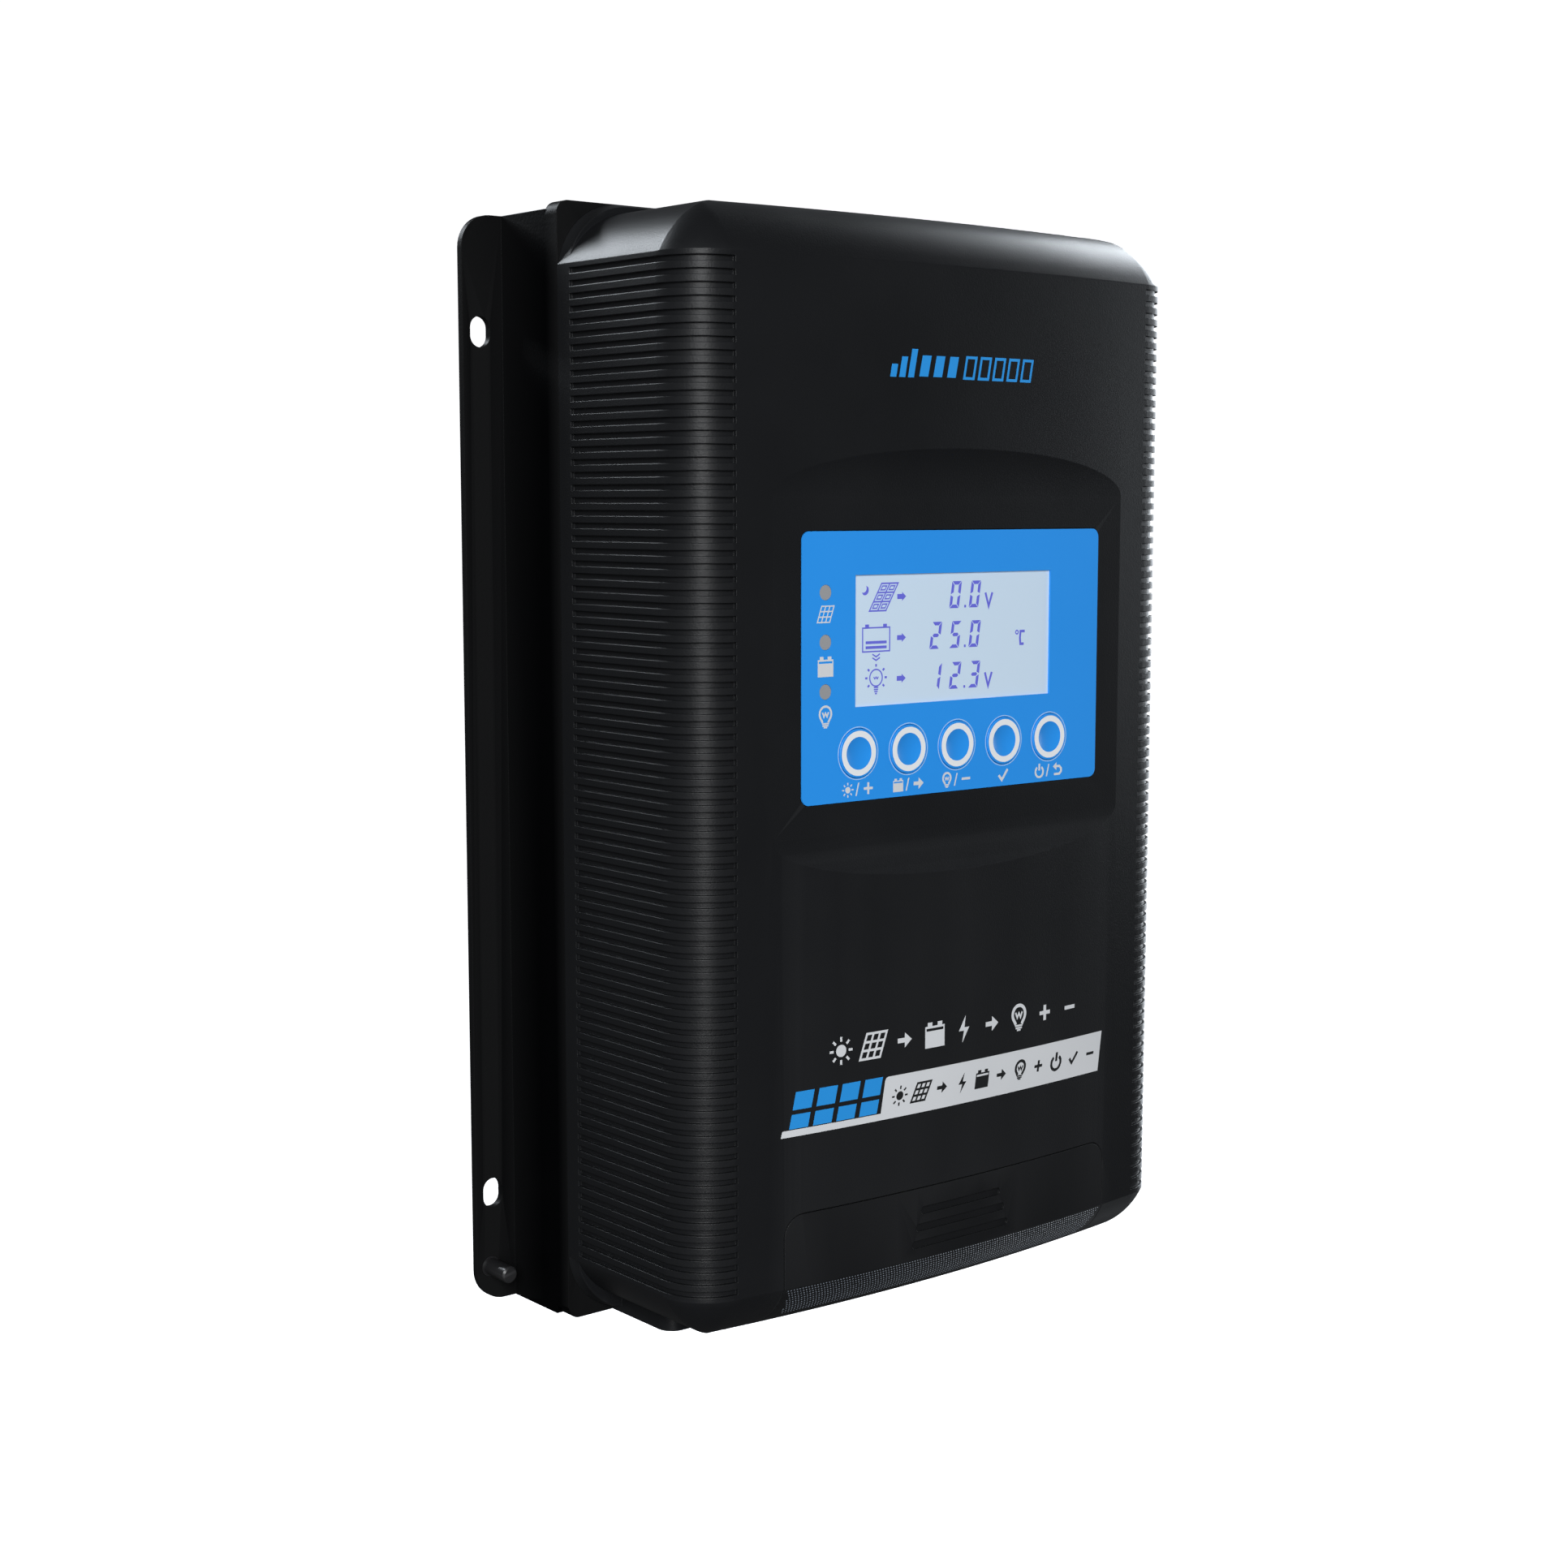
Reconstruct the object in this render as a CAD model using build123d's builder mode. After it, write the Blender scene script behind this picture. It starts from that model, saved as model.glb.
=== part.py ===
from build123d import *
import os
from math import asin, cos, degrees, radians, sin, sqrt

# Wall-mounted solar charge controller, millimetres.
# +X is right seen from the front, +Y goes into the wall, +Z is up.
# The origin is the middle of the four mounting slots, on the wall plane.

os.makedirs("parts", exist_ok=True)

# ---------------------------------------------------------------- driving dimensions
body_width = 148.8  # case, heat-sink plate and webs share this width
body_height = 254.0
body_centre_z = 0.7  # the case sits a little above the middle of the slots
wall = 2.2  # plastic case wall
fit_gap = 0.25  # gap between the case and its loose parts

slot_spacing_x = 160.8
slot_spacing_z = 200.0
slot_width = 5.2
slot_length = 7.0
flange_span = 170.0
flange_height = 252.0
flange_thickness = 1.8
flange_corner = 7.5

plate_front_y = -24.2
plate_thickness = 4.7
plate_corner = 3.0
web_thickness = 2.6
fin_count = 17
fin_pitch = 7.6
fin_thickness = 1.8

front_y = -76.75  # foremost line of the bulged front
bulge_radius = 510.8
corner_radius = 12.0  # vertical front corners
case_centre_z = 1.3
crease_half_height = 112.4  # from the case centre to the crease above and below
band_radius = 20.05  # curved band above and below the creases
band_setback = 18.36
side_step = 0.12  # the bands at the sides lie this much lower than those in front
rim_front_y = -28.0  # the rear rim tapers a little from the plate to here
rim_front_height = 252.2
rim_corner = 16.8
plinth_half_width = 62.0  # raised frame under the cable entry
plinth_front_y = -46.4

groove_count = 81
groove_pitch = 2.765
groove_width = 1.25
groove_depth = 0.8
groove_rear_y = -28.8
groove_front_x = 62.8

recess_floor_y = -73.9  # flat floor that carries the display
recess_radius = 21.3
recess_low_z = -11.0
recess_high_z = 63.0

overlay_width = 92.0
overlay_height = 59.4
overlay_centre = (0.2, 25.8)
overlay_thickness = 0.5
overlay_corner = 2.0
lcd_view_width = 60.7
lcd_view_height = 29.0
lcd_centre = (-0.15, 31.4)
led_x = -39.1
led_z = (42.3, 31.5, 20.7)
led_radius = 1.65
button_x = [0.3 + 14.95 * k for k in (-2, -1, 0, 1, 2)]
button_z = 6.7
button_radius = 5.5
button_hole = 5.6
button_names = ["button_panel", "button_battery", "button_load", "button_set", "button_back"]

cover_half_width = 50.7
cover_top_z = -94.7
cover_corner = 5.0
cover_rear_y = -57.8

pcb_rear_y = -33.2
pcb_thickness = 1.6
pcb_front_y = pcb_rear_y - pcb_thickness
display_pcb_front_y = -66.3
display_pcb_rear_y = display_pcb_front_y + pcb_thickness

terminal_pitch = 13.5
terminal_x = [terminal_pitch * (k - 2.5) for k in range(6)]
terminal_z = -105.0
block_low_z = -117.0
block_high_z = -93.0
block_front_y = -66.0
cage_width = 10.8
cage_height = 11.0
cage_rear_y = -36.6
cage_length = 17.4
terminal_thread = 2.4

# ---------------------------------------------------------------- worked-out values
half_width = body_width / 2
bulge_centre_y = front_y + bulge_radius
band_centre_z = crease_half_height - sqrt(band_radius**2 - band_setback**2)
floor_inner_y = recess_floor_y + wall
overlay_rear_y = recess_floor_y + overlay_thickness - 0.1
above, below = 1, -1


def front_plane(y):
    """The upright plane at depth y: local x is X, local y is Z, and it extrudes towards the front."""
    return Plane.XZ.offset(-y)


def band_z(depth, inset):
    """Height above the case centre of the band surface, at a depth in from the case outline."""
    return band_centre_z + sqrt((band_radius - inset) ** 2 - (band_setback - depth) ** 2)


def case_plan(inset):
    """The case seen from above: straight sides, round front corners and a front that bulges gently."""
    side = half_width - inset
    bulge = bulge_radius - inset
    side_front_y = bulge_centre_y - sqrt(bulge**2 - side**2)
    with BuildSketch() as plan:
        with BuildLine():
            Line((-side, side_front_y), (-side, plate_front_y))
            Line((-side, plate_front_y), (side, plate_front_y))
            Line((side, plate_front_y), (side, side_front_y))
            ThreePointArc((side, side_front_y), (0, bulge_centre_y - bulge), (-side, side_front_y))
        make_face()
        fillet(plan.vertices().group_by(Axis.Y)[0], radius=corner_radius - inset)
    return plan.sketch


def case_block(inset):
    """The outer form of the case as a solid, with every face moved inwards by inset."""
    side = half_width - inset
    bulge = bulge_radius - inset
    top = band_centre_z + band_radius - inset
    edge_z = band_z(inset, inset)
    side_band_z = band_centre_z - side_step
    side_edge_z = edge_z - side_step
    side_top = top - side_step
    fillet_r = corner_radius - inset
    shoulder = half_width - band_setback
    fillet_x = half_width - corner_radius
    reach = bulge_radius - corner_radius
    fillet_y = bulge_centre_y - sqrt(reach**2 - fillet_x**2)
    front_turn = 90 - degrees(asin(fillet_x / reach))
    sweep = degrees(asin(half_width / bulge_radius)) + 2
    turned = radians(sweep)

    plan = case_plan(inset)
    with BuildPart() as block:
        with BuildSketch(Plane.XY.offset(case_centre_z - top)):
            add(plan)
        extrude(amount=2 * top)
        # front view: the bands curve in towards the top and the bottom
        with BuildSketch(Plane(origin=(0, 0, case_centre_z), x_dir=(1, 0, 0), z_dir=(0, -1, 0))):
            with BuildLine():
                for s in (above, below):
                    turn = s * 45
                    for m in (1, -1):
                        middle = (
                            m * (shoulder + (band_radius - inset) * cos(radians(turn))),
                            s * side_band_z + (band_radius - inset) * sin(radians(turn)),
                        )
                        ThreePointArc((m * side, s * side_edge_z), middle, (m * shoulder, s * side_top))
                    Line((-shoulder, s * side_top), (shoulder, s * side_top))
                for m in (1, -1):
                    Line((m * side, -side_edge_z), (m * side, side_edge_z))
            make_face()
        extrude(amount=100, mode=Mode.INTERSECT)
        # side view: the same band over the bulged front, turned about the bulge's axis
        profile_plane = Plane(
            origin=(0, bulge_centre_y, case_centre_z),
            x_dir=(-sin(turned), -cos(turned), 0),
            z_dir=(-cos(turned), sin(turned), 0),
        )
        with BuildSketch(profile_plane):
            with BuildLine():
                ring = bulge_radius - band_setback
                rear = bulge_centre_y + 10
                flip = profile_plane.y_dir.Z
                for s in (above, below):
                    middle = (
                        ring + (band_radius - inset) * cos(radians(45)),
                        flip * s * (band_centre_z + (band_radius - inset) * sin(radians(45))),
                    )
                    ThreePointArc((bulge, flip * s * edge_z), middle, (ring, flip * s * top))
                    Line((ring, flip * s * top), (rear, flip * s * top))
                Line((bulge, -edge_z), (bulge, edge_z))
                Line((rear, -top), (rear, top))
            make_face()
        revolve(
            axis=Axis((0, bulge_centre_y, 0), (0, 0, 1)), revolution_arc=2 * sweep, mode=Mode.INTERSECT
        )
        # the vertical corners stay round all the way over the bands
        for m in (1, -1):
            for s in (above, below):
                corner_plane = Plane(
                    origin=(m * fillet_x, fillet_y, case_centre_z), x_dir=(m, 0, 0), z_dir=(0, -m, 0)
                )
                centre = corner_radius - band_setback
                start = sqrt((band_radius - inset) ** 2 - (fillet_r - centre) ** 2)
                end = sqrt((band_radius - inset) ** 2 - centre**2)
                half = radians((degrees(asin(start / (band_radius - inset))) + 90) / 2)
                middle = (
                    centre + (band_radius - inset) * cos(half),
                    band_centre_z + (band_radius - inset) * sin(half),
                )
                with BuildSketch(corner_plane):
                    with BuildLine():
                        ThreePointArc(
                            (fillet_r, s * (band_centre_z + start)),
                            (middle[0], s * middle[1]),
                            (0, s * (band_centre_z + end)),
                        )
                        Polyline(
                            (0, s * (band_centre_z + end)),
                            (0, s * (top + 5)),
                            (fillet_r + 5, s * (top + 5)),
                            (fillet_r + 5, s * (band_centre_z + start)),
                            (fillet_r, s * (band_centre_z + start)),
                        )
                    make_face()
                revolve(
                    axis=Axis((m * fillet_x, fillet_y, 0), (0, 0, -m)),
                    revolution_arc=front_turn,
                    mode=Mode.SUBTRACT,
                )
        # the rear rim fills out to the top and bottom of the heat-sink plate
        for y, height in ((plate_front_y, body_height), (rim_front_y + inset, rim_front_height)):
            with BuildSketch(front_plane(y)):
                with Locations((0, body_centre_z)):
                    RectangleRounded(2 * side, height - 2 * inset, rim_corner - inset)
        loft()
        # the display recess: a flat floor that curves out at its top and bottom
        with BuildSketch(Plane.YZ):
            floor = recess_floor_y + inset
            sweep_r = recess_radius + inset
            centre_y = recess_floor_y - recess_radius
            rise = sweep_r * sin(radians(50))
            out_y = centre_y + sweep_r * cos(radians(50))
            mid_rise = sweep_r * sin(radians(25))
            mid_y = centre_y + sweep_r * cos(radians(25))
            with BuildLine():
                Line((floor, recess_low_z), (floor, recess_high_z))
                ThreePointArc(
                    (floor, recess_high_z), (mid_y, recess_high_z + mid_rise), (out_y, recess_high_z + rise)
                )
                Line((out_y, recess_high_z + rise), (out_y, recess_low_z - rise))
                ThreePointArc(
                    (out_y, recess_low_z - rise), (mid_y, recess_low_z - mid_rise), (floor, recess_low_z)
                )
            make_face()
        extrude(amount=body_width, both=True, mode=Mode.SUBTRACT)
    return block.part


case_outer = case_block(0)
case_inner = case_block(wall)
lip_outer = case_block(wall + fit_gap)
lip_inner = case_block(wall + fit_gap + 1.2)
groove_floor = case_plan(groove_depth)


def save(piece, name):
    """Labels a finished piece and writes its file."""
    piece.part.label = name
    export_step(piece.part, "parts/" + name + ".step")


def block_between(low, high, mode=Mode.ADD):
    """A box from its low corner to its high corner."""
    with Locations(tuple((a + b) / 2 for a, b in zip(low, high))):
        Box(*(b - a for a, b in zip(low, high)), mode=mode)


def side_block(side, across, depth, height, mode=Mode.ADD):
    """A box on one side of the middle, side being 1 or -1, from its (near, far) pairs."""
    low_x, high_x = sorted((side * across[0], side * across[1]))
    block_between((low_x, depth[0], height[0]), (high_x, depth[1], height[1]), mode)


def rods(spots, radius, rear_y, front_y, mode=Mode.ADD):
    """Round rods or holes that run from rear_y to front_y, at each (x, z) spot."""
    with BuildSketch(front_plane(rear_y)) as ends:
        with Locations(*spots):
            Circle(radius)
    extrude(ends.sketch, amount=rear_y - front_y, mode=mode)


def plates(spots, width, height, rear_y, front_y, mode=Mode.ADD):
    """Rectangular plates or openings that run from rear_y to front_y, at each (x, z) spot."""
    with BuildSketch(front_plane(rear_y)) as faces:
        with Locations(*spots):
            Rectangle(width, height)
    extrude(faces.sketch, amount=rear_y - front_y, mode=mode)


# ---------------------------------------------------------------- heat sink
plate_rear_y = plate_front_y + plate_thickness
thread_depth = 4.0
thread_hole = 1.5
boss_spots = [(mx * 67.0, body_centre_z + mz * 107.5) for mx in (-1, 1) for mz in (-1, 1)]
standoff_spots = [(mx * 56.0, z) for mx in (-1, 1) for z in (-84.0, 8.0, 104.0)]
clamp_spots = [(mx * 31.0, z) for mx in (-1, 1) for z in (-40.0, 40.0)]
stud_spot = [(-81.2, -117.75)]
stud_radius = 2.0
stud_shank_radius = 2.4
stud_tip_y = -10.3
stud_head_radius = 3.0
stud_head_depth = 0.9
press_gap = 0.02

with BuildPart() as heat_sink:
    # extruded outline: flanges, webs and fins behind the plate
    with BuildSketch(Plane.XY.offset(-flange_height / 2)):
        flange_from = half_width - web_thickness
        for m in (-1, 1):
            with Locations((m * (half_width - web_thickness / 2), plate_rear_y / 2)):
                Rectangle(web_thickness, -plate_rear_y)
            with Locations((m * (flange_from + flange_span / 2) / 2, -flange_thickness / 2)):
                Rectangle(flange_span / 2 - flange_from, flange_thickness)
        with Locations((0, plate_rear_y / 2)):
            with GridLocations(fin_pitch, 1, fin_count, 1):
                Rectangle(fin_thickness, -plate_rear_y)
    extrude(amount=flange_height)
    flange_ends = heat_sink.edges().filter_by(Axis.Y).filter_by(
        lambda edge: abs(edge.center().X) > flange_span / 2 - 0.01
    )
    fillet(flange_ends, radius=flange_corner)
    # front plate, a little taller than the fins
    with BuildSketch(front_plane(plate_rear_y)):
        with Locations((0, body_centre_z)):
            RectangleRounded(body_width, body_height, plate_corner)
    extrude(amount=plate_thickness)
    # four upright mounting slots
    with BuildSketch(front_plane(1)):
        with GridLocations(slot_spacing_x, slot_spacing_z, 2, 2):
            SlotOverall(slot_length, slot_width, rotation=90)
    extrude(amount=flange_thickness + 2, mode=Mode.SUBTRACT)
    # hole and head recess for the earth stud
    rods(stud_spot, stud_shank_radius + press_gap, 1, -flange_thickness - 1, Mode.SUBTRACT)
    rods(stud_spot, stud_head_radius + press_gap, 1, -stud_head_depth - press_gap, Mode.SUBTRACT)
    # clearance holes for the case screws, threaded holes for the standoffs and clamp screws
    rods(boss_spots, 1.7, plate_rear_y + 1, plate_front_y - 1, Mode.SUBTRACT)
    threaded_spots = standoff_spots + clamp_spots
    rods(threaded_spots, thread_hole, plate_front_y + thread_depth, plate_front_y, Mode.SUBTRACT)
save(heat_sink, "heat_sink")

with BuildPart() as ground_stud:
    rods(stud_spot, stud_head_radius, 0, -stud_head_depth)
    # the shank fills the flange and the thread stands out of it
    rods(stud_spot, stud_shank_radius, -stud_head_depth, -flange_thickness)
    rods(stud_spot, stud_radius, -flange_thickness, stud_tip_y)
    chamfer(ground_stud.faces().sort_by(Axis.Y)[0].edges(), length=0.4)
save(ground_stud, "ground_stud")

# ---------------------------------------------------------------- case
boss_radius = 3.6
boss_hole = 1.3
boss_front_y = -62.0
display_boss_spots = [(mx * 47.0, z) for mx in (-1, 1) for z in (-3.5, 58.5)]
display_boss_radius = 2.6
display_boss_hole = 0.95
cable_half_width = 42.5
cable_rear_y = -36.5
mouth_rear_y = -36.6
mouth_top_z = -118.0
comm_x, comm_mouth_width, comm_mouth_depth = 53.0, 12.0, 8.8
sensor_x, sensor_mouth_width, sensor_mouth_depth = -53.0, 8.2, 7.2
rail_z = (-110.0, -96.0)
rail_x = cover_half_width + 0.3
rail_outer_x = rail_x + 1.6
hook_x = 48.8
hook_front_y, hook_rear_y = -71.7, -70.8
under_z = body_centre_z - body_height / 2
led_spots = [(led_x, z) for z in led_z]
button_spots = [(x, button_z) for x in button_x]
glass_width = lcd_view_width + 1.3
glass_height = lcd_view_height + 1.6


def cover_opening(gap):
    """Front view of the terminal cover, grown by gap, open at the bottom."""
    half = cover_half_width + gap
    top = cover_top_z + gap
    low = under_z - 5
    with BuildSketch(front_plane(cover_rear_y + gap)) as opening:
        with Locations((0, (top + low) / 2)):
            Rectangle(2 * half, top - low)
        fillet(opening.vertices().group_by(Axis.Z)[-1], radius=cover_corner + gap)
    return opening.sketch


groove_steps = [(k - (groove_count - 1) / 2) * groove_pitch for k in range(groove_count)]
housing_opening = cover_opening(fit_gap)
closed_cover = cover_opening(0)
groove_outline = case_plan(0)

with BuildPart() as grooves:
    with BuildSketch(*[Plane.XY.offset(case_centre_z + z - groove_width / 2) for z in groove_steps]):
        add(groove_outline)
        add(groove_floor, mode=Mode.SUBTRACT)
        # the grooves stop short of the rim, and just round the front corners
        with Locations((0, plate_front_y)):
            Rectangle(2 * body_width, 2 * (plate_front_y - groove_rear_y), mode=Mode.SUBTRACT)
        Rectangle(2 * groove_front_x, 4 * -front_y, mode=Mode.SUBTRACT)
    extrude(amount=groove_width)

with BuildPart() as housing:
    add(case_outer)
    # raised frame under the cable entry
    with BuildSketch(Plane.XY.offset(under_z)) as plinth:
        with Locations((0, (plate_front_y + plinth_front_y) / 2)):
            Rectangle(2 * plinth_half_width, plate_front_y - plinth_front_y)
        fillet(plinth.vertices().group_by(Axis.Y)[0], radius=4)
    extrude(amount=10)
    add(case_inner, mode=Mode.SUBTRACT)
    # screw bosses tied to the side walls, and short bosses behind the display
    rods(boss_spots, boss_radius, plate_front_y, boss_front_y)
    for x, z in boss_spots:
        side = 1 if x > 0 else -1
        side_block(side, (abs(x), half_width - 1), (boss_front_y, plate_front_y), (z - 1, z + 1))
    rods(display_boss_spots, display_boss_radius, display_pcb_front_y, floor_inner_y - 0.5)
    # openings at the front: terminal cover, display glass, lights and buttons
    extrude(housing_opening, amount=40, mode=Mode.SUBTRACT)
    # rails that the terminal cover's feet slide behind
    for m in (-1, 1):
        side_block(m, (rail_x, rail_outer_x), (-73.0, hook_rear_y), rail_z)
        side_block(m, (hook_x, rail_outer_x), (hook_front_y, hook_rear_y), rail_z)
    rods(boss_spots, boss_hole, plate_front_y, boss_front_y + 2, Mode.SUBTRACT)
    rods(display_boss_spots, display_boss_hole, display_pcb_front_y, floor_inner_y + 0.3, Mode.SUBTRACT)
    with BuildSketch(front_plane(overlay_rear_y)):
        with Locations(overlay_centre):
            RectangleRounded(overlay_width + 0.3, overlay_height + 0.3, overlay_corner + 0.15)
    extrude(amount=5, mode=Mode.SUBTRACT)
    plates([lcd_centre], glass_width + 0.4, glass_height + 0.4, floor_inner_y + 1, front_y, Mode.SUBTRACT)
    rods(led_spots, led_radius + 0.05, floor_inner_y + 1, front_y, Mode.SUBTRACT)
    rods(button_spots, button_hole, floor_inner_y + 1, front_y, Mode.SUBTRACT)
    # openings underneath: cable entry and the two sockets
    block_between(
        (-cable_half_width, cover_rear_y - 1, under_z - 1),
        (cable_half_width, cable_rear_y, mouth_top_z),
        Mode.SUBTRACT,
    )
    for x, width, depth in (
        (comm_x, comm_mouth_width, comm_mouth_depth),
        (sensor_x, sensor_mouth_width, sensor_mouth_depth),
    ):
        block_between(
            (x - width / 2, mouth_rear_y - depth, under_z - 1),
            (x + width / 2, mouth_rear_y, mouth_top_z),
            Mode.SUBTRACT,
        )
    add(grooves.part, mode=Mode.SUBTRACT)
save(housing, "housing")

with BuildPart() as housing_screws:
    rods(boss_spots, 2.8, plate_rear_y + 2, plate_rear_y)
    rods(boss_spots, boss_hole - 0.05, plate_rear_y, plate_front_y - 9)
    # cross recess in each head
    plates(boss_spots, 3.8, 0.8, plate_rear_y + 2, plate_rear_y + 1, Mode.SUBTRACT)
    plates(boss_spots, 0.8, 3.8, plate_rear_y + 2, plate_rear_y + 1, Mode.SUBTRACT)
save(housing_screws, "housing_screws")

# ---------------------------------------------------------------- terminal cover
grip_bars = [(25.3, -100.0), (28.2, -103.9), (30.6, -107.8)]
grip_height = 1.8
grip_depth = 0.6
foot_z = (-110.0, -98.0)
rib_x = (46.6, 48.3)
foot_x = 50.4
foot_front_y, foot_rear_y = -70.5, -69.5
lip_x = 44.0
lip_root_z = cover_top_z - 0.5
lip_top_z = cover_top_z + 2.2

with BuildPart() as terminal_cover:
    add(case_outer)
    add(case_inner, mode=Mode.SUBTRACT)
    extrude(closed_cover, amount=40, mode=Mode.INTERSECT)
    # two feet that hook behind the rails
    for m in (-1, 1):
        side_block(m, rib_x, (-73.3, foot_rear_y), foot_z)
        side_block(m, (rib_x[0], foot_x), (foot_front_y, foot_rear_y), foot_z)
    # pressed-in grip bars, each longer than the one above
    for length, z in grip_bars:
        with BuildSketch(front_plane(front_y + grip_depth)):
            with Locations((0.5, z)):
                SlotOverall(length, grip_height)
        extrude(amount=5, mode=Mode.SUBTRACT)

# a lip along the top edge, and the tongue on it that reaches up behind the case front
with BuildPart() as cover_lip:
    add(case_inner)
    add(lip_inner, mode=Mode.SUBTRACT)
    block_between((-lip_x, -80, lip_root_z - 3.5), (lip_x, -60, lip_root_z), Mode.INTERSECT)

with BuildPart() as cover_tongue:
    add(lip_outer)
    add(lip_inner, mode=Mode.SUBTRACT)
    block_between((-lip_x, -80, lip_root_z), (lip_x, -60, lip_top_z), Mode.INTERSECT)

with terminal_cover:
    add(cover_lip.part)
    add(cover_tongue.part)
save(terminal_cover, "terminal_cover")

# ---------------------------------------------------------------- display front
with BuildPart() as front_overlay:
    with BuildSketch(front_plane(overlay_rear_y)):
        with Locations(overlay_centre):
            RectangleRounded(overlay_width, overlay_height, overlay_corner)
        with Locations(lcd_centre):
            Rectangle(lcd_view_width, lcd_view_height, mode=Mode.SUBTRACT)
        with Locations(*led_spots):
            Circle(led_radius + 0.05, mode=Mode.SUBTRACT)
        with Locations(*button_spots):
            Circle(button_hole, mode=Mode.SUBTRACT)
    extrude(amount=overlay_thickness)
save(front_overlay, "front_overlay")

glass_front_y = overlay_rear_y
glass_rear_y = glass_front_y + 2.6
with BuildPart() as lcd_glass:
    plates([lcd_centre], glass_width, glass_height, glass_rear_y, glass_front_y)
save(lcd_glass, "lcd_glass")

frame_front_y = floor_inner_y + 0.1
with BuildPart() as lcd_frame:
    plates([lcd_centre], glass_width + 4, glass_height + 4.2, display_pcb_front_y, frame_front_y)
    plates(
        [lcd_centre], glass_width + 0.3, glass_height + 0.3, display_pcb_front_y, floor_inner_y, Mode.SUBTRACT
    )
save(lcd_frame, "lcd_frame")

with BuildPart() as backlight_panel:
    plates([lcd_centre], glass_width, glass_height, display_pcb_front_y, glass_rear_y + 0.1)
save(backlight_panel, "backlight_panel")

with BuildPart() as led_light_pipes:
    rods(led_spots, led_radius, display_pcb_front_y - 1.4, recess_floor_y)
    rods(led_spots, led_radius + 0.8, floor_inner_y + 1, floor_inner_y)
save(led_light_pipes, "led_light_pipes")

with BuildPart() as status_leds:
    plates(led_spots, 3.0, 3.0, display_pcb_front_y, display_pcb_front_y - 1.3)
save(status_leds, "status_leds")

with BuildPart() as display_pcb:
    plates([(0.2, 27.0)], 101, 71, display_pcb_rear_y, display_pcb_front_y)
    rods(display_boss_spots, 1.1, display_pcb_rear_y, display_pcb_front_y, Mode.SUBTRACT)
save(display_pcb, "display_pcb")

with BuildPart() as display_pcb_screws:
    rods(display_boss_spots, 2.0, display_pcb_rear_y + 1.5, display_pcb_rear_y)
    rods(display_boss_spots, display_boss_hole - 0.05, display_pcb_rear_y, display_pcb_front_y - 4)
save(display_pcb_screws, "display_pcb_screws")

# ---------------------------------------------------------------- buttons
switch_front_y = display_pcb_front_y - 3.5
button_rear_y = floor_inner_y + 0.7
button_front_y = recess_floor_y - 0.4
plunger_radius = 1.7
dish_radius = 3.6
dish_depth = 0.5
dish_sphere = (dish_radius**2 + dish_depth**2) / (2 * dish_depth)

with BuildPart() as tact_switches:
    plates(button_spots, 6.0, 6.0, display_pcb_front_y, switch_front_y)
    rods(button_spots, plunger_radius + 0.05, switch_front_y + 2.4, switch_front_y, Mode.SUBTRACT)
save(tact_switches, "tact_switches")

for name, spot in zip(button_names, button_spots):
    with BuildPart() as button:
        rods([spot], button_radius, button_rear_y, button_front_y)
        fillet(button.faces().sort_by(Axis.Y)[0].edges(), radius=0.2)
        rods([spot], button_radius + 0.8, button_rear_y, button_rear_y - 0.5)
        with Locations((spot[0], button_front_y + dish_depth - dish_sphere, spot[1])):
            Sphere(dish_sphere, mode=Mode.SUBTRACT)
    save(button, name)
    with BuildPart() as plunger:
        rods([spot], plunger_radius, switch_front_y + 1.6, button_rear_y)
    save(plunger, name + "_plunger")

# ---------------------------------------------------------------- main board
board_low_z = -119.0
board_high_z = 112.0

with BuildPart() as main_pcb:
    block_between((-62.5, pcb_front_y, board_low_z), (62.5, pcb_rear_y, board_high_z))
    rods(standoff_spots, 1.6, pcb_rear_y, pcb_front_y, Mode.SUBTRACT)
save(main_pcb, "main_pcb")

with BuildPart() as pcb_standoffs:
    with BuildSketch(front_plane(plate_front_y)):
        with Locations(*standoff_spots):
            RegularPolygon(3.1, 6)
    extrude(amount=plate_front_y - pcb_rear_y)
    rods(standoff_spots, thread_hole - 0.05, plate_front_y + thread_depth - 0.5, plate_front_y)
    rods(standoff_spots, thread_hole, plate_front_y - 2.5, pcb_rear_y, Mode.SUBTRACT)
save(pcb_standoffs, "pcb_standoffs")

with BuildPart() as pcb_screws:
    rods(standoff_spots, 2.8, pcb_front_y, pcb_front_y - 2)
    rods(standoff_spots, thread_hole - 0.05, pcb_front_y + 7, pcb_front_y)
save(pcb_screws, "pcb_screws")

# ---------------------------------------------------------------- power transistors on the plate
transistor_x = (-21.0, -7.0, 7.0, 21.0)
transistor_rows = (-40.0, 40.0)
pad_front_y = plate_front_y - 0.3
package_front_y = pad_front_y - 4.5
bar_front_y = package_front_y - 2.0

with BuildPart() as insulating_pads:
    plates([(0, z - 2) for z in transistor_rows], 56, 20, plate_front_y, pad_front_y)
save(insulating_pads, "insulating_pads")

with BuildPart() as power_transistors:
    for z in transistor_rows:
        for x in transistor_x:
            plates([(x, z)], 10.2, 9.2, pad_front_y, package_front_y)
            plates([(x, z + 7)], 10.2, 6.4, pad_front_y, pad_front_y - 1.3)
            for step in (-2.54, 0, 2.54):
                block_between(
                    (x + step - 0.4, pad_front_y - 2.9, z - 8), (x + step + 0.4, pad_front_y - 2.3, z - 4)
                )
                block_between(
                    (x + step - 0.4, pcb_rear_y, z - 8), (x + step + 0.4, pad_front_y - 2.3, z - 7.2)
                )
save(power_transistors, "power_transistors")

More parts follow.
